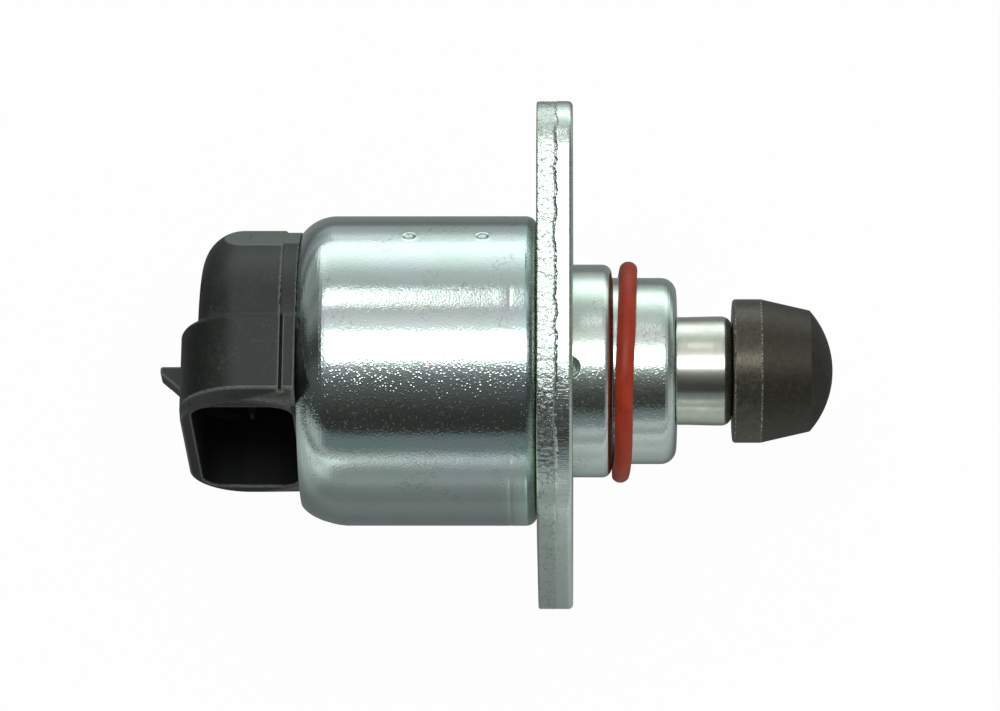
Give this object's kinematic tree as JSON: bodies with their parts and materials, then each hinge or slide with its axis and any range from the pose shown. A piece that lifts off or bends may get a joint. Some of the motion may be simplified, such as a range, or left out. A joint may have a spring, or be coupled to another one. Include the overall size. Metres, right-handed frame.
{
  "type": "idle air control valve",
  "caption": "Stepper-driven idle air control valve: drawn metal can with a side-opening socket, two-eared flange, stepped nose with a red O-ring and a sliding black pintle.",
  "frame": {"origin": "on the valve's axis at the flange's front face, which seats on the throttle body", "axes": "+X along the valve's axis towards the pintle's tip; -Y the way the harness socket opens; +Z completes the frame"},
  "size_m": [0.0694, 0.0412, 0.0473],
  "materials": {
    "zinc_can": "zinc plated, pale blue-green passivate, bright with fine orange peel",
    "zinc_flange": "zinc plated stamping with a sheared edge",
    "zinc_nose": "zinc plated, bright",
    "red_silicone": "satin red silicone rubber",
    "black_plastic": "moulded, fine grain",
    "pintle_black": "moulded, satin",
    "bright_sleeve": "turned, satin",
    "steel": "turned steel",
    "ball_steel": "polished",
    "stator_steel": "stamped soft iron",
    "magnet": "sintered ferrite, matt",
    "natural_plastic": "moulded, natural colour",
    "copper": "enamelled copper wire",
    "bronze": "sintered bronze",
    "tinned_brass": "tinned",
    "black_rubber": "matt",
    "spring_steel": "drawn spring wire"
  },
  "bodies": {
    "housing": {"motor_can": "zinc_can", "mounting_flange": "zinc_flange", "nose_housing": "zinc_nose", "nose_o_ring": "red_silicone", "cup_bush": "natural_plastic", "bearing_holder": "steel", "anti_rotation_guide": "natural_plastic", "spring_seat": "steel", "bearing_outer_race": "steel", "stator_plate_1": "stator_steel", "stator_plate_2": "stator_steel", "stator_plate_3": "stator_steel", "stator_plate_4": "stator_steel", "bobbin_front": "natural_plastic", "bobbin_rear": "natural_plastic", "winding_front": "copper", "winding_rear": "copper", "rear_plate": "steel", "rear_bush": "bronze", "thrust_washer": "steel", "housing_seal": "black_rubber", "connector_housing": "black_plastic", "terminal_1": "tinned_brass", "terminal_2": "tinned_brass", "terminal_3": "tinned_brass", "terminal_4": "tinned_brass", "coil_lead_1": "copper", "coil_lead_2": "copper", "coil_lead_3": "copper", "coil_lead_4": "copper", "pintle_spring": "spring_steel"},
    "rotor": {"rotor_magnet": "magnet", "rotor_hub": "natural_plastic", "bearing_inner_race": "steel"},
    "ball_cage": {"bearing_cage": "bronze", "bearing_balls": "ball_steel"},
    "pintle": {"lead_screw": "steel", "spring_cup": "bright_sleeve", "screw_clip": "spring_steel", "pintle_head": "pintle_black"}
  },
  "joints": [
    {"name": "rotor_spin", "type": "hinge", "parent": "housing", "child": "rotor", "pos_m": [-0.0135, 0, 0], "axis": [1, 0, 0], "range_deg": [-1980, 900]},
    {"name": "pintle_slide", "type": "slide", "parent": "housing", "child": "pintle", "axis": [1, 0, 0], "range_m": [-0.0055, 0.0025], "deforming": ["pintle_spring"]},
    {"name": "cage_spin", "type": "hinge", "parent": "housing", "child": "ball_cage", "pos_m": [-0.0025, 0, 0], "axis": [1, 0, 0], "range_deg": [-850, 390]}
  ],
  "couplings": [
    {"joint": "pintle_slide", "follows": "rotor_spin", "m_per_rad": 0.00015915},
    {"joint": "cage_spin", "follows": "rotor_spin", "ratio": 0.4286}
  ]
}
